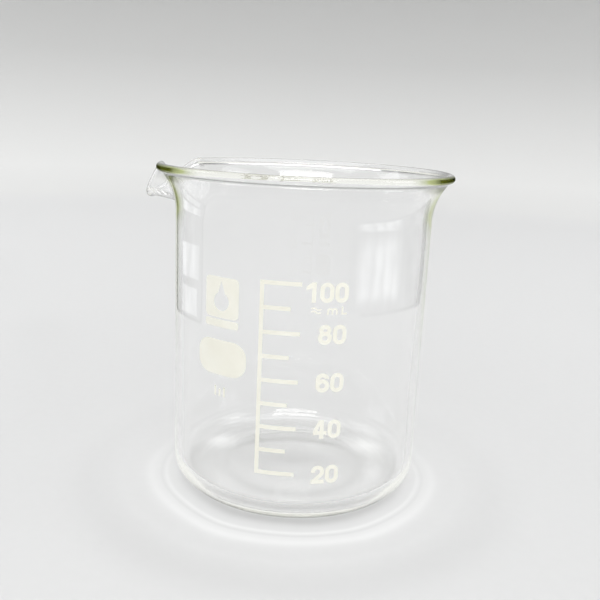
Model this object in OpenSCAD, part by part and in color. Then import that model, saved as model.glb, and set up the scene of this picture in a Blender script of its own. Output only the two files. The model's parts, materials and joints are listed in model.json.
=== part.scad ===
// Low-form laboratory beaker: one piece of borosilicate glass with a beaded rim and a pouring spout, and the
// fired enamel marks that are printed on its wall.
//
// The origin is the centre of the plane that the beaker stands on. +Z runs up to the rim, the spout points
// along -X, and the scale faces -Y. All lengths are in millimetres.

/* [Glass body] */
// Outside diameter of the straight wall
body_d = 55; // [53:0.5:60]
// Height from the table to the top of the rim
height = 70; // [68:1:80]
// Thickness of the straight wall
wall_t = 1.7; // [1.4:0.1:2]
// Thickness of the floor at its edge
floor_t = 2.3; // [1.9:0.1:3]
// Outside radius of the corner between wall and base
corner_r = 5.7; // [4.5:0.1:7]
// Inside radius of the corner between wall and floor
inner_corner_r = 4.3; // [3:0.1:5]
// Width of the flat ring that the beaker stands on
foot_ring_w = 3.4; // [2:0.2:6]
// Depth of the shallow dome under the base
foot_recess = 0.6; // [0.2:0.1:1]

/* [Rim] */
// Diameter of the rounded bead along the rim
bead_d = 1.7; // [1.6:0.1:2.2]
// Thickness of the glass where it runs into the bead
lip_t = 1.3; // [1.1:0.1:1.5]
// Radius of the outward bend below the rim
rim_bend_r = 13.5; // [10:0.5:16]
// Angle that the rim bends outwards from the vertical
rim_sweep = 34; // [28:1:40]
// Straight length between the rim's bend and its bead
rim_run = 0.9; // [0.5:0.1:2]

/* [Spout] */
// Angle that the spout takes up around the rim
spout_angle = 39; // [32:1:50]
// Distance that the spout's tip lies below the rim
spout_drop = 7.1; // [4:0.1:8]
// Radius of the outward bend at the middle of the spout
spout_bend_r = 4.2; // [3.5:0.1:6]
// Angle that the middle of the spout bends outwards from the vertical
spout_sweep = 80; // [65:1:85]
// Straight length between the spout's bend and its bead
spout_run = 4.3; // [2:0.1:5]

/* [Scale] */
// Volume between two long marks, in millilitres
mark_ml = 20; // [10:5:20]
// Height of the lowest long mark
first_mark_z = 11.9; // [11:0.1:13]
// Width of every printed line
line_w = 0.8; // [0.5:0.05:1]
// Length of a long mark
long_mark = 7.5; // [6:0.1:8]
// Length of a short mark
short_mark = 5.6; // [4:0.1:6]
// Height of a numeral
numeral_h = 3.85; // [3:0.05:4.2]
// Width of a numeral
numeral_w = 2.65; // [2.2:0.05:2.8]
// Distance from the scale's line to the right-hand end of the numerals
numeral_end = 16.4; // [16:0.1:17]

/* [Other marks] */
// Thickness of the fired enamel
enamel_t = 0.08; // [0.04:0.01:0.15]
// Width of the patch for pencil notes
spot_w = 11.7; // [8:0.1:12]
// Height of the patch for pencil notes
spot_h = 7.1; // [4:0.1:8]
// Width and height of the emblem tile
tile_w = 8; // [6:0.1:9]
// Height of the bar below the emblem tile
bar_h = 1.5; // [1:0.1:2]
// Distance from the scale's line to the middle of the emblem, the patch and the code, to the left
left_marks_offset = 8.7; // [8:0.1:9]
// Height of the middle of the emblem tile
tile_z = 45.9; // [45.8:0.1:47]
// Height of the middle of the bar below the tile
bar_z = 40.75; // [40.6:0.05:40.8]
// Height of the middle of the patch for pencil notes
spot_z = 33.85; // [33:0.05:34.5]
// Height of the foot of the production code
code_z = 25.9; // [24:0.1:27]

/* [Hidden] */
glass_colour = [0.86, 0.92, 0.89, 0.4];
enamel_colour = [0.93, 0.92, 0.85];
outer_r = body_d / 2;
inner_r = outer_r - wall_t;
bead_r = bead_d / 2;
// The bead's centre lies this far beyond the sheet's end, and this far in from the sheet's outer face.
bead_reach = 1.05;
bead_inset = 0.28;
// The wall has eased outwards by this much where the rim's bend starts.
lip_ease = 0.03;
// The bead starts this far round towards the sheet, which leaves a narrow neck under it.
neck_angle = 58;
bend_steps = 7;
bead_steps = 10;
spout_steps = 24;
// The spout overlaps its neighbours by this many millimetres and degrees, at this depth under their surface.
weld = 0.6;
weld_skin = 0.02;
rim_bead_z = height - bead_r;
rim_start_z = rim_bead_z - bend_rise(rim_bend_r, rim_sweep, rim_run);
spout_start_z = rim_bead_z - spout_drop - bend_rise(spout_bend_r, spout_sweep, spout_run);
// The wall is cut away above this height where the spout is drawn.
spout_cut_z = spout_start_z - 0.5;
dome_edge_r = outer_r - corner_r - foot_ring_w;
dome_r = (dome_edge_r * dome_edge_r + foot_recess * foot_recess) / (2 * foot_recess);
// A cylinder of this height holds one step of the scale.
mark_step = 1000 * mark_ml / (PI * inner_r * inner_r);
last_mark_z = first_mark_z + 4 * mark_step;
// The highest numeral hangs below its mark, and the others are centred on theirs.
last_numeral_z = last_mark_z - 1.45;
legend_z = last_mark_z - 4.9;
numeral_pitch = numeral_w + 0.2;
// A mark's shape is extruded from the axis to this radius, and the enamel's shell cuts it to its thickness.
mark_reach = outer_r + 4;
fine_fn = 128;
small_fn = 48;

function lerp(a, b, t) = a + (b - a) * t;

// Height from the start of a bend to the centre of the bead at its end
function bend_rise(bend_r, sweep, run) =
    (bend_r + bead_inset) * sin(sweep) + (run + bead_reach) * cos(sweep);

// Point at a depth under the sheet's outer face, where the sheet has bent outwards through an angle
function sheet_point(start_z, bend_r, angle, depth) =
    [outer_r + lip_ease + bend_r - (bend_r + depth) * cos(angle), start_z + (bend_r + depth) * sin(angle)];

// Section through the lip as [radius, height] points: up the outside, round the bead and down the inside.
// The sheet leaves the straight wall at spout_cut_z. From start_z it bends outwards through sweep degrees,
// runs straight and ends in the bead. It thins from wall_t to lip_t along the bend. The section starts weld
// below spout_cut_z, and lies inside the true surface by skin.
function lip_section(start_z, bend_r, sweep, run, skin) =
    let (
        along = [sin(sweep), cos(sweep)],
        inwards = [-cos(sweep), sin(sweep)],
        bend_end = sheet_point(start_z, bend_r, sweep, 0),
        bead_centre = bend_end + (run + bead_reach) * along + bead_inset * inwards,
        first_angle = -sweep - neck_angle
    )
    concat(
        [[outer_r - skin, spout_cut_z - weld], [outer_r - skin, spout_cut_z]],
        [for (i = [0:bend_steps]) sheet_point(start_z, bend_r, sweep * i / bend_steps, skin)],
        [bend_end + run * along + skin * inwards],
        [
            for (i = [0:bead_steps])
                let (a = first_angle + (180 + neck_angle) * i / bead_steps)
                bead_centre + (bead_r - skin) * [cos(a), sin(a)]
        ],
        [
            for (i = [bend_steps:-1:0])
                let (share = i / bend_steps)
                sheet_point(start_z, bend_r, sweep * share, lerp(wall_t, lip_t, share) - skin)
        ],
        [[inner_r + skin, spout_cut_z], [inner_r + skin, spout_cut_z - weld]]
    );

// How far the lip is drawn from the rim's section to the spout's, at an angle from the spout's middle
function spout_share(angle) = abs(angle) < spout_angle / 2 ? pow(cos(180 * angle / spout_angle), 2) : 0;

// Point on the dome under the base, at a share of the way from its middle to its edge
function dome_point(share) =
    let (r = dome_edge_r * share)
    [r, foot_recess - dome_r + sqrt(dome_r * dome_r - r * r)];

// Profile of the base, the straight wall and the plain rim
module wall_profile() {
    difference() {
        union() {
            square([outer_r - corner_r, corner_r]);
            translate([0, corner_r]) square([outer_r, spout_cut_z - corner_r]);
            translate([outer_r - corner_r, corner_r]) circle(r = corner_r, $fn = fine_fn);
        }
        translate([0, floor_t]) square([inner_r - inner_corner_r, height]);
        translate([0, floor_t + inner_corner_r]) square([inner_r, height]);
        translate([inner_r - inner_corner_r, floor_t + inner_corner_r])
            circle(r = inner_corner_r, $fn = fine_fn);
        polygon([[0, -1], [dome_edge_r, -1], for (i = [0:8]) dome_point(1 - i / 8)]);
    }
    polygon(lip_section(rim_start_z, rim_bend_r, rim_sweep, rim_run, 0));
}

// The sector above spout_cut_z that the spout takes up
module spout_sector() {
    side = 2 * outer_r;
    half = spout_angle / 2;
    translate([0, 0, spout_cut_z]) linear_extrude(height)
        polygon([[0, 0], [-side * cos(half), side * sin(half)], [-side * cos(half), -side * sin(half)]]);
}

// The stretch of wall and rim that is drawn out into the spout. It reaches into its neighbours by weld, a
// hair under their surfaces, so that it fuses with them into one solid.
module spout_lip() {
    from = lip_section(rim_start_z, rim_bend_r, rim_sweep, rim_run, weld_skin);
    to = lip_section(spout_start_z, spout_bend_r, spout_sweep, spout_run, weld_skin);
    section_points = len(from);
    turn = spout_angle + 2 * weld;
    rings = [
        for (i = [0:spout_steps])
            let (angle = turn * (i / spout_steps - 0.5), share = spout_share(angle))
            [
                for (k = [0:section_points - 1])
                    let (p = lerp(from[k], to[k], share))
                    [-p[0] * cos(angle), -p[0] * sin(angle), p[1]]
            ]
    ];
    sides = [
        for (i = [0:spout_steps - 1], k = [0:section_points - 1])
            let (j = (k + 1) % section_points, a = i * section_points, b = a + section_points)
            for (face = [[a + k, b + j, b + k], [a + k, a + j, b + j]]) face
    ];
    // An end is a strip across the sheet, and a fan over the bead from where the bead begins inside.
    sheet_steps = bend_steps + 1;
    hub = section_points - 2 - sheet_steps;
    end = concat(
        [for (k = [0:sheet_steps]) [section_points - 1 - k, section_points - 2 - k, k + 1, k]],
        [for (k = [sheet_steps + 1:hub - 2]) [k + 1, k, hub]]
    );
    far_end = [for (face = end) [for (i = [len(face) - 1:-1:0]) spout_steps * section_points + face[i]]];
    polyhedron(points = [for (ring = rings) each ring], faces = concat(sides, end, far_end));
}

module glass_body() {
    color(glass_colour) union() {
        difference() {
            rotate_extrude($fn = fine_fn) wall_profile();
            spout_sector();
        }
        spout_lip();
    }
}

// Fires a flat shape onto the wall, at a distance along the wall from the scale's line and a height
module enamel(along, up) {
    color(enamel_colour) intersection() {
        difference() {
            cylinder(r = outer_r + enamel_t, h = spout_cut_z, $fn = fine_fn);
            translate([0, 0, -1]) cylinder(r = outer_r, h = height, $fn = fine_fn);
        }
        rotate([0, 0, along / outer_r * 180 / PI]) translate([0, 0, up]) rotate([90, 0, 0])
            linear_extrude(mark_reach) children();
    }
}

// Rectangle with rounded corners, centred
module rounded_rect(w, h, r) {
    square([w - 2 * r, h], center = true);
    square([w, h - 2 * r], center = true);
    for (x = [-1, 1], y = [-1, 1])
        translate([x * (w / 2 - r), y * (h / 2 - r)]) circle(r = r, $fn = small_fn);
}

// Ring with straight sides and round ends, drawn in the line width
module loop_shape(w, h) {
    end_r = min(w, h) / 2 - 0.01;
    difference() {
        rounded_rect(w, h, end_r);
        rounded_rect(w - 2 * line_w, h - 2 * line_w, end_r - line_w);
    }
}

module digit_0() {
    loop_shape(numeral_w, numeral_h);
}

module digit_1() {
    stem = numeral_w * 0.3;
    translate([stem - line_w, -numeral_h / 2]) square([line_w, numeral_h]);
    polygon([
        [stem - line_w / 2, numeral_h / 2],
        [stem - line_w, numeral_h / 2],
        [-numeral_w * 0.4, numeral_h / 2 - line_w * 1.05],
        [-numeral_w * 0.4, numeral_h / 2 - line_w * 1.9],
        [stem - line_w / 2, numeral_h / 2 - line_w * 1.2]
    ]);
}

module digit_2() {
    r = numeral_w / 2;
    top = numeral_h / 2 - r;
    foot = -numeral_h / 2;
    turn = -38;
    difference() {
        translate([0, top]) circle(r = r, $fn = small_fn);
        translate([0, top]) circle(r = r - line_w, $fn = small_fn);
        polygon([
            [0, top],
            [2 * r * cos(turn), top + 2 * r * sin(turn)],
            [0, -numeral_h],
            [-2 * r, -numeral_h],
            [-2 * r, top - line_w * 0.2],
            [0, top - line_w * 0.2]
        ]);
    }
    // The slanting stroke starts a little way back inside the bow.
    start = turn + 6;
    polygon([
        [r * cos(start), top + r * sin(start)],
        [(r - line_w) * cos(start), top + (r - line_w) * sin(start)],
        [-r, foot + line_w * 0.7],
        [-r, foot],
        [-r + line_w * 1.6, foot + line_w * 0.9]
    ]);
    translate([-r, foot]) square([numeral_w, line_w]);
}

module digit_4() {
    w = numeral_w / 2;
    h = numeral_h / 2;
    stem = numeral_w * 0.28;
    arm = -numeral_h * 0.28;
    difference() {
        polygon([
            [stem, h],
            [stem - line_w * 1.25, h],
            [-w, arm + line_w],
            [-w, arm],
            [stem - line_w, arm],
            [stem - line_w, -h],
            [stem, -h],
            [stem, arm],
            [w, arm],
            [w, arm + line_w * 0.9],
            [stem, arm + line_w * 0.9]
        ]);
        polygon([
            [stem - line_w, arm + line_w * 0.9],
            [stem - line_w, h - line_w * 1.3],
            [-w + line_w * 1.05, arm + line_w * 0.9]
        ]);
    }
}

module digit_6() {
    r = numeral_w / 2;
    difference() {
        digit_0();
        translate([0, numeral_h / 2 - line_w * 1.35 - numeral_h]) square([numeral_w, numeral_h]);
    }
    translate([0, r - numeral_h / 2]) difference() {
        circle(r = r, $fn = small_fn);
        circle(r = r - line_w, $fn = small_fn);
    }
}

module digit_8() {
    upper_h = numeral_h * 0.55;
    lower_h = numeral_h - upper_h + line_w;
    translate([0, (numeral_h - upper_h) / 2]) loop_shape(numeral_w * 0.88, upper_h);
    translate([0, (lower_h - numeral_h) / 2]) loop_shape(numeral_w, lower_h);
}

module digit(value) {
    if (value == 0) digit_0();
    if (value == 1) digit_1();
    if (value == 2) digit_2();
    if (value == 4) digit_4();
    if (value == 6) digit_6();
    if (value == 8) digit_8();
}

// Prints a row of digits whose right-hand end stands at numeral_end
module numeral(digits, up) {
    for (i = [0:len(digits) - 1])
        enamel(numeral_end - numeral_w / 2 - (len(digits) - 1 - i) * numeral_pitch, up) digit(digits[i]);
}

module marks(first_z, count, mark_length) {
    for (i = [0:count - 1])
        enamel((line_w + mark_length) / 2, first_z + i * mark_step)
            square([mark_length, line_w], center = true);
}

module scale_spine() {
    enamel(0, (first_mark_z + last_mark_z) / 2)
        square([line_w, last_mark_z - first_mark_z + line_w], center = true);
}

module long_graduations() {
    marks(first_mark_z, 5, long_mark - line_w / 2);
}

module short_graduations() {
    marks(first_mark_z + mark_step / 2, 4, short_mark - line_w / 2);
}

module numeral_20() {
    numeral([2, 0], first_mark_z);
}

module numeral_40() {
    numeral([4, 0], first_mark_z + mark_step);
}

module numeral_60() {
    numeral([6, 0], first_mark_z + 2 * mark_step);
}

module numeral_80() {
    numeral([8, 0], first_mark_z + 3 * mark_step);
}

module numeral_100() {
    numeral([1, 0, 0], last_numeral_z);
}

// Wavy stroke of the "roughly equal" sign: an arch that runs into a trough
module wave(w) {
    r = 0.55;
    lean = 50;
    for (side = [-1, 1])
        translate([side * r * sin(lean), side * r * cos(lean)]) difference() {
            circle(r = r + w / 2, $fn = small_fn);
            circle(r = r - w / 2, $fn = small_fn);
            translate([-2 * r, side < 0 ? r * cos(lean) - 4 * r : -r * cos(lean)]) square(4 * r);
        }
}

// Small letter with two arches
module letter_m(w, h) {
    arch_r = 0.425;
    stem_h = h * 0.62;
    for (i = [-1:1]) translate([2 * arch_r * i - w / 2, -h / 2]) square([w, stem_h]);
    for (side = [-1, 1])
        translate([side * arch_r, stem_h - h / 2 - arch_r + w / 2]) difference() {
            circle(r = arch_r + w / 2, $fn = small_fn);
            circle(r = arch_r - w / 2, $fn = small_fn);
            translate([-h, -2 * h]) square(2 * h);
        }
}

// Capital letter with a stem and a foot
module letter_l(w, h) {
    foot_w = 1.1;
    translate([-foot_w / 2, -h / 2]) square([w, h]);
    translate([-foot_w / 2, -h / 2]) square([foot_w, w]);
}

// Small legend under the highest numeral: "roughly equal" sign and the unit, millilitres
module unit_legend() {
    legend_h = 1.55;
    stroke = 0.34;
    thin_stroke = 0.29;
    for (side = [-1, 1]) enamel(10.3, legend_z + side * 0.31) wave(thin_stroke);
    enamel(13.4, legend_z) letter_m(stroke, legend_h);
    enamel(15.7, legend_z) letter_l(stroke, legend_h);
}

// Plain tile with a drop-shaped window
module emblem_tile() {
    drop_r = tile_w * 0.23;
    enamel(-left_marks_offset, tile_z) difference() {
        rounded_rect(tile_w, tile_w, tile_w * 0.12);
        translate([0, -tile_w * 0.1]) {
            circle(r = drop_r, $fn = small_fn);
            polygon([[-drop_r * 0.8, 0], [drop_r * 0.8, 0], [0, drop_r * 2.2]]);
        }
    }
}

module emblem_bar() {
    enamel(-left_marks_offset, bar_z) rounded_rect(tile_w, bar_h, bar_h * 0.3);
}

module marking_spot() {
    enamel(-left_marks_offset, spot_z) rounded_rect(spot_w, spot_h, spot_h * 0.42);
}

// Row of short bars that stands for a production code
module batch_mark() {
    code_bar_w = 0.42;
    code_pitch = 1.1;
    tall_bar_h = 2;
    low_bar_h = 1.5;
    for (i = [-1:1]) {
        h = i == 0 ? low_bar_h : tall_bar_h;
        enamel(code_pitch * i - left_marks_offset, code_z + h / 2) square([code_bar_w, h], center = true);
    }
}

glass_body();
scale_spine();
long_graduations();
short_graduations();
numeral_20();
numeral_40();
numeral_60();
numeral_80();
numeral_100();
unit_legend();
emblem_tile();
emblem_bar();
marking_spot();
batch_mark();
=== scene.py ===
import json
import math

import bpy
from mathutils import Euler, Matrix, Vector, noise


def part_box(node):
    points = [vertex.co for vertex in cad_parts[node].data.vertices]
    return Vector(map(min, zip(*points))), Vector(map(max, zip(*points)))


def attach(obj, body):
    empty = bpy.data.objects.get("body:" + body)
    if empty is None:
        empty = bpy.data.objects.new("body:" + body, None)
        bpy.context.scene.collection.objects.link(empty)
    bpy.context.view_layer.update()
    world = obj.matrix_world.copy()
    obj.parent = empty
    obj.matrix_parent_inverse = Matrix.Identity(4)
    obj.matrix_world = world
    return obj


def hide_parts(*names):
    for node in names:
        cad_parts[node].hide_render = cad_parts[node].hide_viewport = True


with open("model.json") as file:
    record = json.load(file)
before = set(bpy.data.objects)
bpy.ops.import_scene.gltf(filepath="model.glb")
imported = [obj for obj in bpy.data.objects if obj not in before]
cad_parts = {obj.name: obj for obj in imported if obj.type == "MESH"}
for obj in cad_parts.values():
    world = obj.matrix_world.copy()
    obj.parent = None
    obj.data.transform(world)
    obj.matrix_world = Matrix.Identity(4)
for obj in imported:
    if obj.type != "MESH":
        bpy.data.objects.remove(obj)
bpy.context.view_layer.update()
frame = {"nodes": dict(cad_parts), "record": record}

# Studio scene for the laboratory beaker.
#
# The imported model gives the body's sizes and every enamel mark. This script replaces the CAD glass with a
# smooth closed mesh of the same shape, gives glass and enamel their materials, and sets the table, the light
# and the camera. Lengths are in metres, unless a name ends in _MM or _DEG.

MM = 0.001


# ---------------------------------------------------------------- glass shape

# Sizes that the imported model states
mounts = {mount["name"]: mount for mount in frame["record"]["mounts"]}
OUTER_R = mounts["outer_wall"]["dims"]["r_mm"] * MM
INNER_R = mounts["inner_wall"]["dims"]["r_mm"] * MM
glass_low, glass_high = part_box("glass_body")
HEIGHT = glass_high[2] - glass_low[2]

# Sizes of the wall and the base
WALL_T = OUTER_R - INNER_R
FLOOR_T = 2.3 * MM
CORNER_R = 5.7 * MM
INNER_CORNER_R = 4.3 * MM
FOOT_RING_W = 3.4 * MM
FOOT_RECESS = 0.6 * MM

# The lip thins from the wall to LIP_T, and starts this far outside the wall's face.
LIP_T = 1.3 * MM
LIP_EASE = 0.03 * MM
# The bead's centre lies this far past the sheet's end, and this far in from the sheet's outer face. Its arc
# starts this angle before the normal of that face.
BEAD_R = 0.85 * MM
BEAD_REACH = 1.05 * MM
BEAD_INSET = 0.28 * MM
NECK_DEG = 58
# The lip bends outwards through a sweep, and then runs straight to the bead, with points at two shares of the
# run.
RIM = {"bend_r": 13.5 * MM, "sweep": math.radians(34), "run": 0.9 * MM}
SPOUT = {"bend_r": 4.2 * MM, "sweep": math.radians(80), "run": 4.3 * MM}
RUN_SHARES = (0.5, 0.9)
# The spout's width as an angle round the axis, and how far its tip lies below the rim
SPOUT_DEG = 39
SPOUT_DROP = 7.1 * MM

# The inner wall is uneven by up to this depth, as drawn glass is. The waves ease in above the foot and out
# below the top.
WAVE_DEPTH = 0.07 * MM
WAVE_PITCH = 16 * MM
WAVES_AROUND = 2.2
WAVE_FOOT = 8 * MM
WAVE_FOOT_EASE = 10 * MM
WAVE_TOP = 60 * MM
WAVE_TOP_EASE = 8 * MM

# The glass stands this far into the enamel, so that the two never share a surface.
ENAMEL_BED = 0.012 * MM

AROUND = 360
BEND_STEPS = 20
BEAD_STEPS = 24
WALL_STEPS = 24
CORNER_STEPS = 16
FLOOR_STEPS = 12
FOOT_STEPS = 4


def mix(a, b, share):
    return a + (b - a) * share


def bend_rise(bend_r, sweep, run):
    """Height from the start of a bend to the centre of the bead at its end."""
    return (bend_r + BEAD_INSET) * math.sin(sweep) + (run + BEAD_REACH) * math.cos(sweep)


def sheet_point(start_z, bend_r, angle, depth):
    """Point at a depth under the sheet's outer face, where the sheet has bent outwards through an angle."""
    return Vector((
        OUTER_R + LIP_EASE + bend_r - (bend_r + depth) * math.cos(angle),
        start_z + (bend_r + depth) * math.sin(angle),
    ))


def lip_section(start_z, bend_r, sweep, run):
    """Outer bend, bead and inner bend as (radius, height) points."""
    along = Vector((math.sin(sweep), math.cos(sweep)))
    inwards = Vector((-math.cos(sweep), math.sin(sweep)))
    bend_end = sheet_point(start_z, bend_r, sweep, 0)
    centre = bend_end + (run + BEAD_REACH) * along + BEAD_INSET * inwards
    first = -sweep - math.radians(NECK_DEG)
    points = [sheet_point(start_z, bend_r, sweep * i / BEND_STEPS, 0) for i in range(BEND_STEPS + 1)]
    points += [bend_end + run * along * share for share in RUN_SHARES]
    for i in range(BEAD_STEPS + 1):
        angle = first + (math.pi + math.radians(NECK_DEG)) * i / BEAD_STEPS
        points.append(centre + BEAD_R * Vector((math.cos(angle), math.sin(angle))))
    for i in range(BEND_STEPS, -1, -1):
        share = i / BEND_STEPS
        points.append(sheet_point(start_z, bend_r, sweep * share, mix(WALL_T, LIP_T, share)))
    return points


def soften(points, first, last, rounds):
    """Rounds off the corners of a polyline from one of its points up to another."""
    for _ in range(rounds):
        points[first:last] = [
            points[i - 1] * 0.25 + points[i] * 0.5 + points[i + 1] * 0.25 for i in range(first, last)
        ]
    return points


def arc(centre, radius, start_deg, end_deg, steps):
    angles = [math.radians(mix(start_deg, end_deg, i / steps)) for i in range(steps + 1)]
    return [centre + radius * Vector((math.cos(a), math.sin(a))) for a in angles]


def line(start, end, steps):
    """Points between two ends, without the ends."""
    return [start.lerp(end, i / steps) for i in range(1, steps)]


def underside():
    """From the axis, over the shallow dome and the flat ring, up the outer corner."""
    edge = OUTER_R - CORNER_R - FOOT_RING_W
    dome_r = (edge * edge + FOOT_RECESS * FOOT_RECESS) / (2 * FOOT_RECESS)
    points = []
    for i in range(FLOOR_STEPS + 1):
        r = edge * i / FLOOR_STEPS
        points.append(Vector((r, FOOT_RECESS - dome_r + math.sqrt(dome_r * dome_r - r * r))))
    points += line(points[-1], Vector((OUTER_R - CORNER_R, 0)), FOOT_STEPS)
    return points + arc(Vector((OUTER_R - CORNER_R, CORNER_R)), CORNER_R, -90, 0, CORNER_STEPS)


def inner_floor():
    """Down the inner corner and along the floor to the axis."""
    centre = Vector((INNER_R - INNER_CORNER_R, FLOOR_T + INNER_CORNER_R))
    points = arc(centre, INNER_CORNER_R, 0, -90, CORNER_STEPS)
    return points + line(points[-1], Vector((0, FLOOR_T)), FLOOR_STEPS) + [Vector((0, FLOOR_T))]


def full_section(bend, drop):
    """The whole wall as a polyline from the axis under the base to the axis on the floor."""
    start_z = HEIGHT - BEAD_R - drop - bend_rise(bend["bend_r"], bend["sweep"], bend["run"])
    low = underside()
    lip = lip_section(start_z, bend["bend_r"], bend["sweep"], bend["run"])
    floor = inner_floor()
    # The bead meets the sheet in a crisp neck outside, and flows into it inside.
    outer_neck = BEND_STEPS + 2
    lip = soften(lip, outer_neck - 2, outer_neck + 3, 1)
    inner_neck = len(lip) - BEND_STEPS
    lip = soften(lip, inner_neck - 4, inner_neck + 2, 4)
    outer_wall = line(low[-1], lip[0], WALL_STEPS)
    inner_wall = line(lip[-1], floor[0], WALL_STEPS)
    return low + outer_wall + lip + inner_wall + floor


def spout_share(angle_deg):
    """How far the lip is drawn from the rim's section to the spout's."""
    if abs(angle_deg) >= SPOUT_DEG / 2:
        return 0.0
    return math.cos(math.radians(180 * angle_deg / SPOUT_DEG)) ** 2


def wavy(point, angle):
    """Moves a point of the inner wall in or out a little."""
    r, z = point
    fade = min(1, max(0, (z - WAVE_FOOT) / WAVE_FOOT_EASE), max(0, (WAVE_TOP - z) / WAVE_TOP_EASE))
    where = Vector((math.cos(angle) * WAVES_AROUND, math.sin(angle) * WAVES_AROUND, z / WAVE_PITCH))
    return Vector((r + WAVE_DEPTH * fade * noise.noise(where), z))


def glass_mesh():
    """One closed skin: the rim's section all round, drawn out into the spout's towards -X."""
    rim = full_section(RIM, 0)
    spout = full_section(SPOUT, SPOUT_DROP)
    bead_top = len(underside()) + WALL_STEPS + BEND_STEPS + BEAD_STEPS // 2
    ring = len(rim) - 2
    verts = [Vector((0, 0, rim[0][1])), Vector((0, 0, rim[-1][1]))]
    for i in range(AROUND):
        angle = 2 * math.pi * i / AROUND
        share = spout_share((180 + 360 * i / AROUND) % 360 - 180)
        for k in range(1, ring + 1):
            point = rim[k].lerp(spout[k], share)
            if k > bead_top:
                point = wavy(point, angle)
            r, z = point
            if k < bead_top and z > CORNER_R:
                r += ENAMEL_BED * min(1, r / OUTER_R)
            verts.append(Vector((-r * math.cos(angle), -r * math.sin(angle), z)))
    faces = []
    for i in range(AROUND):
        a = 2 + i * ring
        b = 2 + (i + 1) % AROUND * ring
        faces.append((0, b, a))
        faces.append((1, a + ring - 1, b + ring - 1))
        faces += [(a + k, b + k, b + k + 1, a + k + 1) for k in range(ring - 1)]
    mesh = bpy.data.meshes.new("beaker_glass")
    mesh.from_pydata(verts, [], faces)
    mesh.validate()
    mesh.shade_smooth()
    mesh.update()
    return mesh


# ---------------------------------------------------------------- objects and node trees

def link(name, data):
    obj = bpy.data.objects.new(name, data)
    bpy.context.scene.collection.objects.link(obj)
    return obj


class Nodes:
    """Short way to build a material's node tree."""

    def __init__(self, name):
        self.material = bpy.data.materials.new(name)
        self.material.use_nodes = True
        self.tree = self.material.node_tree
        self.tree.nodes.clear()
        self.output = self.tree.nodes.new("ShaderNodeOutputMaterial")

    def add(self, kind, inputs=None, **settings):
        node = self.tree.nodes.new("ShaderNode" + kind)
        for key, value in settings.items():
            setattr(node, key, value)
        for key, value in (inputs or {}).items():
            if isinstance(value, bpy.types.NodeSocket):
                self.tree.links.new(value, node.inputs[key])
            else:
                node.inputs[key].default_value = value
        return node

    def math(self, operation, *values):
        return self.add("Math", dict(enumerate(values)), operation=operation).outputs[0]

    def vector(self, operation, *vectors):
        """Vector arithmetic with a vector as its result."""
        return self.add("VectorMath", dict(enumerate(vectors)), operation=operation).outputs["Vector"]

    def measure(self, operation, *vectors):
        """Vector arithmetic with a number as its result."""
        return self.add("VectorMath", dict(enumerate(vectors)), operation=operation).outputs["Value"]

    def part(self, vector, axis):
        return self.add("SeparateXYZ", {"Vector": vector}).outputs[axis]

    def share(self, value, start, end):
        """Goes from 0 to 1 while the value goes from start to end."""
        return self.add("MapRange", {"Value": value, "From Min": start, "From Max": end}).outputs["Result"]

    def spread(self, share, low, high):
        """Goes from low to high while the share goes from 0 to 1."""
        return self.add("MapRange", {"Value": share, "To Min": low, "To Max": high}).outputs["Result"]

    def noise(self, place, scale, detail):
        return self.add("TexNoise", {"Vector": place, "Scale": scale, "Detail": detail}).outputs["Fac"]

    def ramp(self, share, stops):
        """Blends from stop to stop. A stop is a place from 0 to 1 and a grey or a colour."""
        node = self.add("ValToRGB", {"Fac": share})
        elements = node.color_ramp.elements
        while len(elements) < len(stops):
            elements.new(0.5)
        for element, (place, tone) in zip(elements, stops):
            element.position = place
            element.color = (*tone, 1) if isinstance(tone, tuple) else (tone, tone, tone, 1)
        return node.outputs["Color"]

    def blend(self, share, first, second, how="MIX"):
        node = self.add("Mix", {"Factor": share, "A": first, "B": second}, data_type="RGBA", blend_type=how)
        return node.outputs["Result"]

    def mix_shaders(self, share, first, second):
        return self.add("MixShader", {0: share, 1: first, 2: second}).outputs[0]

    def finish(self, surface, volume=None):
        self.tree.links.new(surface, self.output.inputs["Surface"])
        if volume:
            self.tree.links.new(volume, self.output.inputs["Volume"])
        return self.material


# ---------------------------------------------------------------- glass

GLASS_IOR = 1.473
GLASS_TINT = (0.66, 0.70, 0.40, 1)
GLASS_TINT_DENSITY = 2.5
# Light guided through the glass for more than this many bounces is taken to be even, and painted on as a
# glow.
GUIDED_DEPTH = 10
GUIDED_LIGHT = (0.93, 0.93, 0.91, 1)
SHADOW_LIGHT = (0.98, 0.98, 0.98, 1)

# Light that runs along the rim passes through much more glass than light across it, and turns olive.
OLIVE_STOPS = ((0, (1, 1, 1)), (0.5, (0.30, 0.36, 0.09)), (1, (0.010, 0.013, 0.0002)))
# Its strength by height, and by how much the side of the beaker faces the eye: 0 at the outline, 1 in front
OLIVE_BY_HEIGHT = ((28 * MM, 0.0), (44 * MM, 0.42), (58 * MM, 0.46), (63 * MM, 1.0))
OLIVE_BY_FACING = ((0.0, 0.0), (0.04, 1.0), (0.42, 1.0), (0.70, 0.0))
# What is added to the facing below the bead, so that the olive stays near the outline there
FACING_ADDED = ((56 * MM, 0.38), (61 * MM, 0.30), (66.5 * MM, 0.28), (68.2 * MM, 0.0))
# It fades out between these slopes, where the glass turns up or down as the eye sees it.
OLIVE_SLOPES = (0.92, 0.3)
# The spout leads the light out, so it stays clear: it lies where the outward direction's X is below these.
SPOUT_CLEAR = -0.985
SPOUT_OLIVE = -0.955
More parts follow.
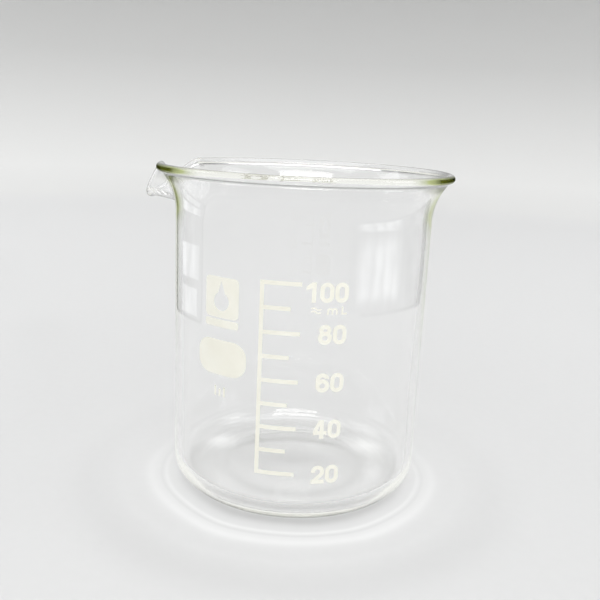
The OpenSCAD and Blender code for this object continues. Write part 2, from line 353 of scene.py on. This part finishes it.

# Sight that only grazes the base's corner, the spout or the bead meets the dark room. The glass's colour is
# darkened there into a thin painted dark line, which stands in for that view of the room.
LINE_BY_GRAZING = ((0.0, 0.05), (0.18, 0.16), (0.42, 1.0))
BASE_LINE_HEIGHTS = (CORNER_R, 0.6 * CORNER_R)
BASE_LINE_FACING = (0.35, 0.65)
SPOUT_LINE_HEIGHTS = (60 * MM, 61.5 * MM)
BEAD_HEIGHTS = (66 * MM, 67 * MM)


def flat_direction(n, vector):
    """The horizontal part of a vector, one unit long."""
    flat = n.add("CombineXYZ", {"X": n.part(vector, "X"), "Y": n.part(vector, "Y")})
    return n.vector("NORMALIZE", flat.outputs[0])


def sight_of_glass(n, height, path):
    """Sockets that say where on the glass the eye looks, and how."""
    geometry = n.add("NewGeometry").outputs
    outwards = flat_direction(n, geometry["Position"])
    to_eye = flat_direction(n, geometry["Incoming"])
    seen_normal = n.add(
        "VectorTransform", {"Vector": geometry["Normal"]},
        vector_type="NORMAL", convert_from="WORLD", convert_to="CAMERA",
    ).outputs[0]
    return {
        "height": height,
        "facing": n.measure("DOT_PRODUCT", outwards, to_eye),
        "grazing": n.measure("DOT_PRODUCT", geometry["Normal"], geometry["Incoming"]),
        "slope": n.math("ABSOLUTE", n.part(seen_normal, "Y")),
        "beside_spout": n.share(n.part(outwards, "X"), SPOUT_CLEAR, SPOUT_OLIVE),
        "at_bead": n.share(height, *BEAD_HEIGHTS),
        "direct": path["Is Camera Ray"],
    }


def olive_strength(n, sight):
    share_up = n.share(sight["height"], 0, HEIGHT)
    by_height = n.ramp(share_up, [(z / HEIGHT, strength) for z, strength in OLIVE_BY_HEIGHT])
    added = n.ramp(share_up, [(z / HEIGHT, share) for z, share in FACING_ADDED])
    strength = n.ramp(n.math("ADD", sight["facing"], added), OLIVE_BY_FACING)
    level = n.share(sight["slope"], *OLIVE_SLOPES)
    for factor in (by_height, sight["beside_spout"], level, sight["direct"]):
        strength = n.math("MULTIPLY", strength, factor)
    return strength


# Painted dark lines: the glass's colour is darkened where the eye grazes the base's corner, the spout and the
# bead.
def painted_dark_lines(n, sight):
    at_base = n.share(sight["height"], *BASE_LINE_HEIGHTS)
    ahead = n.share(sight["facing"], *BASE_LINE_FACING)
    at_spout = n.math("SUBTRACT", 1.0, sight["beside_spout"])
    raised = n.share(sight["height"], *SPOUT_LINE_HEIGHTS)
    zone = n.math("MAXIMUM", n.math("MULTIPLY", at_base, ahead), n.math("MULTIPLY", at_spout, raised))
    zone = n.math("MAXIMUM", zone, sight["at_bead"])
    zone = n.math("MULTIPLY", zone, sight["direct"])
    return n.blend(zone, (1, 1, 1, 1), n.ramp(sight["grazing"], LINE_BY_GRAZING))


def glass_material():
    n = Nodes("borosilicate_glass")
    coords = n.add("TexCoord").outputs["Object"]
    path = n.add("LightPath").outputs
    sight = sight_of_glass(n, n.part(coords, "Z"), path)
    strength = olive_strength(n, sight)
    colour = n.blend(1.0, n.ramp(strength, OLIVE_STOPS), painted_dark_lines(n, sight), "MULTIPLY")
    smears = n.noise(coords, scale=90.0, detail=3.0)
    bump = n.add("Bump", {"Height": smears, "Strength": 0.02, "Distance": 0.0004})
    clear = n.add("BsdfPrincipled", {
        "Base Color": colour, "Roughness": 0.0, "IOR": GLASS_IOR, "Transmission Weight": 1.0,
        "Normal": bump.outputs["Normal"],
    }).outputs[0]
    # The olive ends of the bead are full of guided light, which outshines the room's reflection. A refraction
    # takes its colour once and the clear glass the root of it, so the root is given here too.
    root = n.add("Gamma", {"Color": colour, "Gamma": 0.5}).outputs[0]
    olive = n.add("BsdfRefraction", {"Color": root, "Roughness": 0.0, "IOR": GLASS_IOR}).outputs[0]
    glass = n.mix_shaders(n.math("MULTIPLY", strength, sight["at_bead"]), clear, olive)
    # Past that depth the glass glows with the even painted light instead of refracting.
    guided = n.math("GREATER_THAN", path["Ray Depth"], GUIDED_DEPTH)
    glass = n.mix_shaders(guided, glass, n.add("Emission", {"Color": GUIDED_LIGHT}).outputs[0])
    # Light on its way to or from a dull surface passes straight through, which keeps the shadow soft.
    straight = n.math("MAXIMUM", path["Is Shadow Ray"], path["Is Diffuse Ray"])
    glass = n.mix_shaders(straight, glass, n.add("BsdfTransparent", {"Color": SHADOW_LIGHT}).outputs[0])
    tint = n.add("VolumeAbsorption", {"Color": GLASS_TINT, "Density": GLASS_TINT_DENSITY})
    return n.finish(glass, tint.outputs[0])


def build_glass():
    glass = link("beaker_glass", glass_mesh())
    glass.data.materials.append(glass_material())
    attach(glass, "root")
    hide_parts("glass_body")


# ---------------------------------------------------------------- enamel

ENAMEL_STOPS = ((0.3, (0.86, 0.845, 0.75)), (0.7, (0.91, 0.90, 0.82)))
ENAMEL_ROUGHNESS = (0.28, 0.5)


def enamel_material():
    """Fired ivory enamel: faint clouds of colour, and a fine grain in its gloss and surface."""
    n = Nodes("fired_enamel")
    coords = n.add("TexCoord").outputs["Object"]
    clouds = n.noise(coords, scale=160.0, detail=4.0)
    grain = n.noise(coords, scale=4200.0, detail=2.0)
    bump = n.add("Bump", {"Height": grain, "Strength": 0.3, "Distance": 0.00003})
    shader = n.add("BsdfPrincipled", {
        "Base Color": n.ramp(clouds, ENAMEL_STOPS),
        "Roughness": n.spread(grain, *ENAMEL_ROUGHNESS), "IOR": 1.55, "Normal": bump.outputs["Normal"],
    })
    return n.finish(shader.outputs[0])


def paint_enamel():
    enamel = enamel_material()
    for name, node in frame["nodes"].items():
        if name != "glass_body":
            node.data.materials.clear()
            node.data.materials.append(enamel)


# ---------------------------------------------------------------- table

# The table rises all round in one smooth curve, so that every view has a plain background.
COVE_FLOOR_R = 0.55
COVE_FLOOR_RINGS = 10
COVE_BEND_R = 0.5
COVE_BEND_STEPS = 24
COVE_TOP = 1.3
COVE_AROUND = 96
TABLE_GAP = 0.02 * MM

# Its painted shading by height and by distance from the beaker, as (share of the way, grey): the wall darkens
# upwards, and the table is darker near the beaker and lighter far off.
BACKDROP_TOP = 0.30
BACKDROP_START = 0.004
BACKDROP_PAINTED_SHADING = ((0.0, 0.80), (0.08, 0.83), (0.26, 0.74), (0.55, 0.60), (1.0, 0.48))
BACKDROP_WARMTH = 0.99
TABLE_REACH = 0.6
TABLE_PAINTED_SHADING = ((0.0, 0.625), (0.12, 0.625), (0.3, 0.67), (1.0, 0.79))
TABLE_MOTTLE = (0.985, 1.015)

# Painted rings of focused light and soft shade, in place of those that the round base throws on the table, as
# (radius, half width, strength)
LIGHT_RINGS = (
    (0.0315, 0.0028, 0.09), (0.0291, 0.0005, 0.11), (0.0326, 0.0011, 0.08), (0.0390, 0.0014, 0.015),
    (0.0190, 0.0022, 0.16), (0.0120, 0.0035, 0.16), (0.0040, 0.0040, 0.12),
)
SHADE_RINGS = (
    (0.0302, 0.0004, -0.07), (0.0246, 0.0017, -0.24), (0.0460, 0.0055, -0.06), (0.0155, 0.0010, -0.06),
)
RING_WANDER = 0.0012
# The light comes mostly from behind, so the rings are strongest in front and fall to a share of that behind.
RING_FRONT = (0.26, -0.97, 0)
RING_FADE = (-0.3, 0.9)
RING_BACK_SHARE = 0.22
# Painted patches of the light that the thick base gathers, as (x, y, half width, strength), and painted arcs
# of light and shade on its far side round a centre of their own, as (radius, half width, strength).
LIGHT_PATCHES = (
    (-0.0205, 0.0045, 0.0038, 0.38), (0.0150, 0.0150, 0.0042, 0.38), (0.0187, 0.0015, 0.0022, 0.12),
)
FAR_CENTRE = (0.0015, -0.0060, 0)
FAR_FADE = (-0.1, -0.7)
FAR_ARCS = ((0.0196, 0.0011, -0.26), (0.0150, 0.0022, 0.10), (0.0085, 0.0024, -0.07))
# Painted shade: the sides that the camera does not look at are a little darker, away from the beaker.
SIDE_SHADE = -0.17
SIDE_DISTANCES = (0.17, 0.3)
SIDE_FADE = (-0.85, -0.3)


def bump_of(n, distance, centre, half_width):
    """Smooth bump of height 1 where a distance is equal to centre."""
    off = n.math("DIVIDE", n.math("SUBTRACT", distance, centre), half_width)
    return n.math("POWER", math.exp(-1), n.math("POWER", off, 2.0))


def table_painted_light_shade(n, coords, flat, length):
    """Every painted light and shade on the table as (bump, how much of it shows, strength)."""
    wander = n.spread(n.noise(coords, scale=38.0, detail=1.0), -RING_WANDER, RING_WANDER)
    away = n.math("ADD", length, wander)
    toward = n.measure("DOT_PRODUCT", n.vector("NORMALIZE", flat), RING_FRONT)
    in_front = n.spread(n.share(toward, *RING_FADE), RING_BACK_SHARE, 1)
    painted_light_shade = [(bump_of(n, away, radius, half_width), in_front, strength)
             for radius, half_width, strength in LIGHT_RINGS + SHADE_RINGS]
    from_far = n.measure("DISTANCE", flat, FAR_CENTRE)
    behind = n.share(toward, *FAR_FADE)
    painted_light_shade += [(bump_of(n, from_far, radius, half_width), behind, strength)
              for radius, half_width, strength in FAR_ARCS]
    painted_light_shade += [(bump_of(n, n.measure("DISTANCE", flat, (x, y, 0)), 0.0, half_width), 1.0, strength)
              for x, y, half_width, strength in LIGHT_PATCHES]
    painted_light_shade.append((n.share(length, *SIDE_DISTANCES), n.share(toward, *SIDE_FADE), SIDE_SHADE))
    return painted_light_shade


def table_material():
    n = Nodes("pale_table")
    coords = n.add("TexCoord").outputs["Object"]
    height = n.part(coords, "Z")
    flat = n.add("CombineXYZ", {"X": n.part(coords, "X"), "Y": n.part(coords, "Y")}).outputs[0]
    length = n.measure("LENGTH", flat)
    wall_stops = [(share, (grey, grey, grey * BACKDROP_WARMTH)) for share, grey in BACKDROP_PAINTED_SHADING]
    wall = n.ramp(n.share(height, 0, BACKDROP_TOP), wall_stops)
    table = n.ramp(n.share(length, 0, TABLE_REACH), TABLE_PAINTED_SHADING)
    base = n.blend(n.share(height, 0, BACKDROP_START), table, wall)
    brightness = 1.0
    # The painted light and shade scale the table's colour.
    for bump, shown, strength in table_painted_light_shade(n, coords, flat, length):
        brightness = n.math("MULTIPLY_ADD", n.math("MULTIPLY", bump, shown), strength, brightness)
    mottle = n.spread(n.noise(coords, scale=420.0, detail=3.0), *TABLE_MOTTLE)
    brightness = n.math("MULTIPLY", brightness, mottle)
    colour = n.add("VectorMath", {0: base, "Scale": brightness}, operation="SCALE").outputs["Vector"]
    shader = n.add("BsdfPrincipled", {"Base Color": colour, "Roughness": 0.6, "IOR": 1.3})
    return n.finish(shader.outputs[0])


def build_cove():
    profile = [Vector((COVE_FLOOR_R * i / COVE_FLOOR_RINGS, 0)) for i in range(1, COVE_FLOOR_RINGS + 1)]
    profile += arc(Vector((COVE_FLOOR_R, COVE_BEND_R)), COVE_BEND_R, -90, 0, COVE_BEND_STEPS)[1:]
    profile.append(Vector((COVE_FLOOR_R + COVE_BEND_R, COVE_TOP)))
    count = len(profile)
    verts = [Vector((0, 0, 0))]
    faces = []
    for i in range(COVE_AROUND):
        angle = 2 * math.pi * i / COVE_AROUND
        verts += [Vector((r * math.cos(angle), r * math.sin(angle), z)) for r, z in profile]
        a = 1 + i * count
        b = 1 + (i + 1) % COVE_AROUND * count
        faces.append((0, a, b))
        faces += [(a + k, a + k + 1, b + k + 1, b + k) for k in range(count - 1)]
    mesh = bpy.data.meshes.new("cove")
    mesh.from_pydata(verts, [], faces)
    mesh.shade_smooth()
    mesh.materials.append(table_material())
    cove = link("cove", mesh)
    cove.location.z = -TABLE_GAP


# ---------------------------------------------------------------- light

ROOM_COLOUR = (0.95, 0.97, 1.0, 1)
ROOM_STRENGTH = 0.45
# (name, place, target, width, height, watts, colour)
SOFTBOXES = (
    ("overhead", (0, 0.1, 1.1), (0, 0, 0), 1.0, 1.0, 5.6, (1, 1, 1)),
    ("front", (0.22, -0.84, 0.95), (0, 0, 0.03), 0.9, 0.6, 10.5, (1, 0.995, 0.98)),
    ("left", (-0.75, 0.0, 0.55), (0, 0, 0.03), 0.4, 0.5, 1.2, (0.97, 0.985, 1.0)),
    ("right", (0.75, 0.1, 0.55), (0, 0, 0.03), 0.4, 0.5, 1.2, (0.97, 0.985, 1.0)),
)

# Window panes and their dark frames, which only show as reflections on the glass. Each card stands on a
# circle round the beaker: (name, start and end azimuth in degrees, foot and top height, radius, brightness,
# corner radius, share of the card over which its edge fades)
CARDS = (
    ("left_frame", -128, -72, 0.001, 0.047, 0.153, 0.0, 0.006, 0.02),
    ("left_wall", -121, -74, 0.0025, 0.0455, 0.152, 0.62, 0.006, 0.02),
    ("left_upper_pane", -108, -76, 0.0185, 0.033, 0.150, 2.2, 0.003, 0.08),
    ("left_lower_pane", -108, -79, 0.004, 0.016, 0.150, 2.0, 0.003, 0.08),
    ("right_frame", 60, 146, 0.009, 0.046, 0.153, 0.0, 0.017, 0.03),
    ("right_wall", 50, 136, 0.0108, 0.0442, 0.152, 0.66, 0.016, 0.03),
    ("right_pane", 54, 106, 0.013, 0.042, 0.150, 4.4, 0.012, 0.24),
)
CARD_COLUMNS = 32
CARD_COLOUR = (0.97, 0.985, 1.0, 1)
CARD_DIM_SHARE = 0.45
CARD_CLOUDS = (0.35, 0.65)


def softbox(name, place, target, width, height, watts, colour):
    data = bpy.data.lights.new(name, "AREA")
    data.shape = "RECTANGLE"
    data.size = width
    data.size_y = height
    data.energy = watts
    data.color = colour
    lamp = link(name, data)
    lamp.location = place
    lamp.rotation_euler = (Vector(target) - Vector(place)).to_track_quat("-Z", "Y").to_euler()
    lamp.visible_camera = False


def column_share(column):
    """How far along a card a column stands. The columns stand closer together at its ends."""
    return (1 - math.cos(math.pi * column / CARD_COLUMNS)) / 2


def card_mesh(name, start_deg, end_deg, foot, top, radius, corner):
    """Upright curved card with rounded corners, and a map of the place on it from 0 to 1."""
    length = math.radians(end_deg - start_deg) * radius
    verts = []
    for i in range(CARD_COLUMNS + 1):
        share = column_share(i)
        from_end = min(share, 1 - share) * length
        cut = corner - min(from_end, corner)
        inset = corner - math.sqrt(corner * corner - cut * cut)
        azimuth = math.radians(mix(start_deg, end_deg, share))
        x = radius * math.sin(azimuth)
        y = -radius * math.cos(azimuth)
        verts += [(x, y, foot + inset), (x, y, top - inset)]
    faces = [(2 * i, 2 * i + 2, 2 * i + 3, 2 * i + 1) for i in range(CARD_COLUMNS)]
    mesh = bpy.data.meshes.new(name)
    mesh.from_pydata(verts, [], faces)
    place_on_card = mesh.uv_layers.new(name="place_on_card")
    for loop, place in zip(mesh.loops, place_on_card.data):
        column, row = divmod(loop.vertex_index, 2)
        place.uv = (column_share(column), row)
    return mesh


def card_material(name, brightness, fade):
    """Cloudy glow that fades out towards the card's edges."""
    n = Nodes(name)
    coords = n.add("TexCoord").outputs["Object"]
    clouds = n.share(n.noise(coords, scale=40.0, detail=2.0), *CARD_CLOUDS)
    strength = n.spread(clouds, CARD_DIM_SHARE * brightness, brightness)
    glow = n.add("Emission", {"Color": CARD_COLOUR, "Strength": strength}).outputs[0]
    on_card = n.add("UVMap", uv_map="place_on_card").outputs["UV"]
    shown = []
    for axis in ("X", "Y"):
        off_middle = n.math("ABSOLUTE", n.math("SUBTRACT", n.part(on_card, axis), 0.5))
        shown.append(n.add(
            "MapRange", {"Value": off_middle, "From Min": 0.5, "From Max": 0.5 - fade},
            interpolation_type="SMOOTHSTEP",
        ).outputs["Result"])
    nothing = n.add("BsdfTransparent").outputs[0]
    return n.finish(n.mix_shaders(n.math("MULTIPLY", *shown), nothing, glow))


def card(name, start_deg, end_deg, foot, top, radius, brightness, corner, fade):
    """Card that only reflections see."""
    mesh = card_mesh(name, start_deg, end_deg, foot, top, radius, corner)
    mesh.materials.append(card_material(name, brightness, fade))
    obj = link(name, mesh)
    obj.visible_camera = False
    obj.visible_diffuse = False
    obj.visible_transmission = False
    obj.visible_shadow = False


def build_light():
    world = bpy.data.worlds.new("soft_room")
    world.use_nodes = True
    background = world.node_tree.nodes["Background"]
    background.inputs["Color"].default_value = ROOM_COLOUR
    background.inputs["Strength"].default_value = ROOM_STRENGTH
    bpy.context.scene.world = world
    for settings in SOFTBOXES:
        softbox(*settings)
    for settings in CARDS:
        card(*settings)


# ---------------------------------------------------------------- camera

CAMERA_AZIMUTH_DEG = 15
CAMERA_DISTANCE = 157.8 * MM
CAMERA_HEIGHT = 78.8 * MM
CAMERA_PITCH_DEG = 13.63
CAMERA_ROLL_DEG = 2.61
CAMERA_LENS_MM = 43.5
CAMERA_CLIP = 10 * MM
SENSOR_MM = 36
GLASS_BOUNCES = 32
DULL_BOUNCES = 6


def build_camera():
    data = bpy.data.cameras.new("camera")
    data.lens = CAMERA_LENS_MM
    data.sensor_width = SENSOR_MM
    data.clip_start = CAMERA_CLIP
    camera = link("camera", data)
    azimuth = math.radians(CAMERA_AZIMUTH_DEG)
    place = Vector((math.sin(azimuth) * CAMERA_DISTANCE, -math.cos(azimuth) * CAMERA_DISTANCE, CAMERA_HEIGHT))
    turn = Euler((math.radians(90 - CAMERA_PITCH_DEG), 0, azimuth)).to_matrix()
    roll = Matrix.Rotation(math.radians(CAMERA_ROLL_DEG), 3, "Z")
    camera.matrix_world = Matrix.Translation(place) @ (turn @ roll).to_4x4()
    bpy.context.scene.camera = camera


def set_render_look():
    """Plain colours, and enough bounces for light to pass through the glass's many faces."""
    scene = bpy.context.scene
    scene.view_settings.view_transform = "Standard"
    scene.cycles.max_bounces = GLASS_BOUNCES
    scene.cycles.transmission_bounces = GLASS_BOUNCES
    scene.cycles.glossy_bounces = GLASS_BOUNCES
    scene.cycles.diffuse_bounces = DULL_BOUNCES
    scene.cycles.caustics_reflective = False
    scene.cycles.caustics_refractive = False
    scene.cycles.use_denoising = True


build_glass()
paint_enamel()
build_cove()
build_light()
build_camera()
set_render_look()
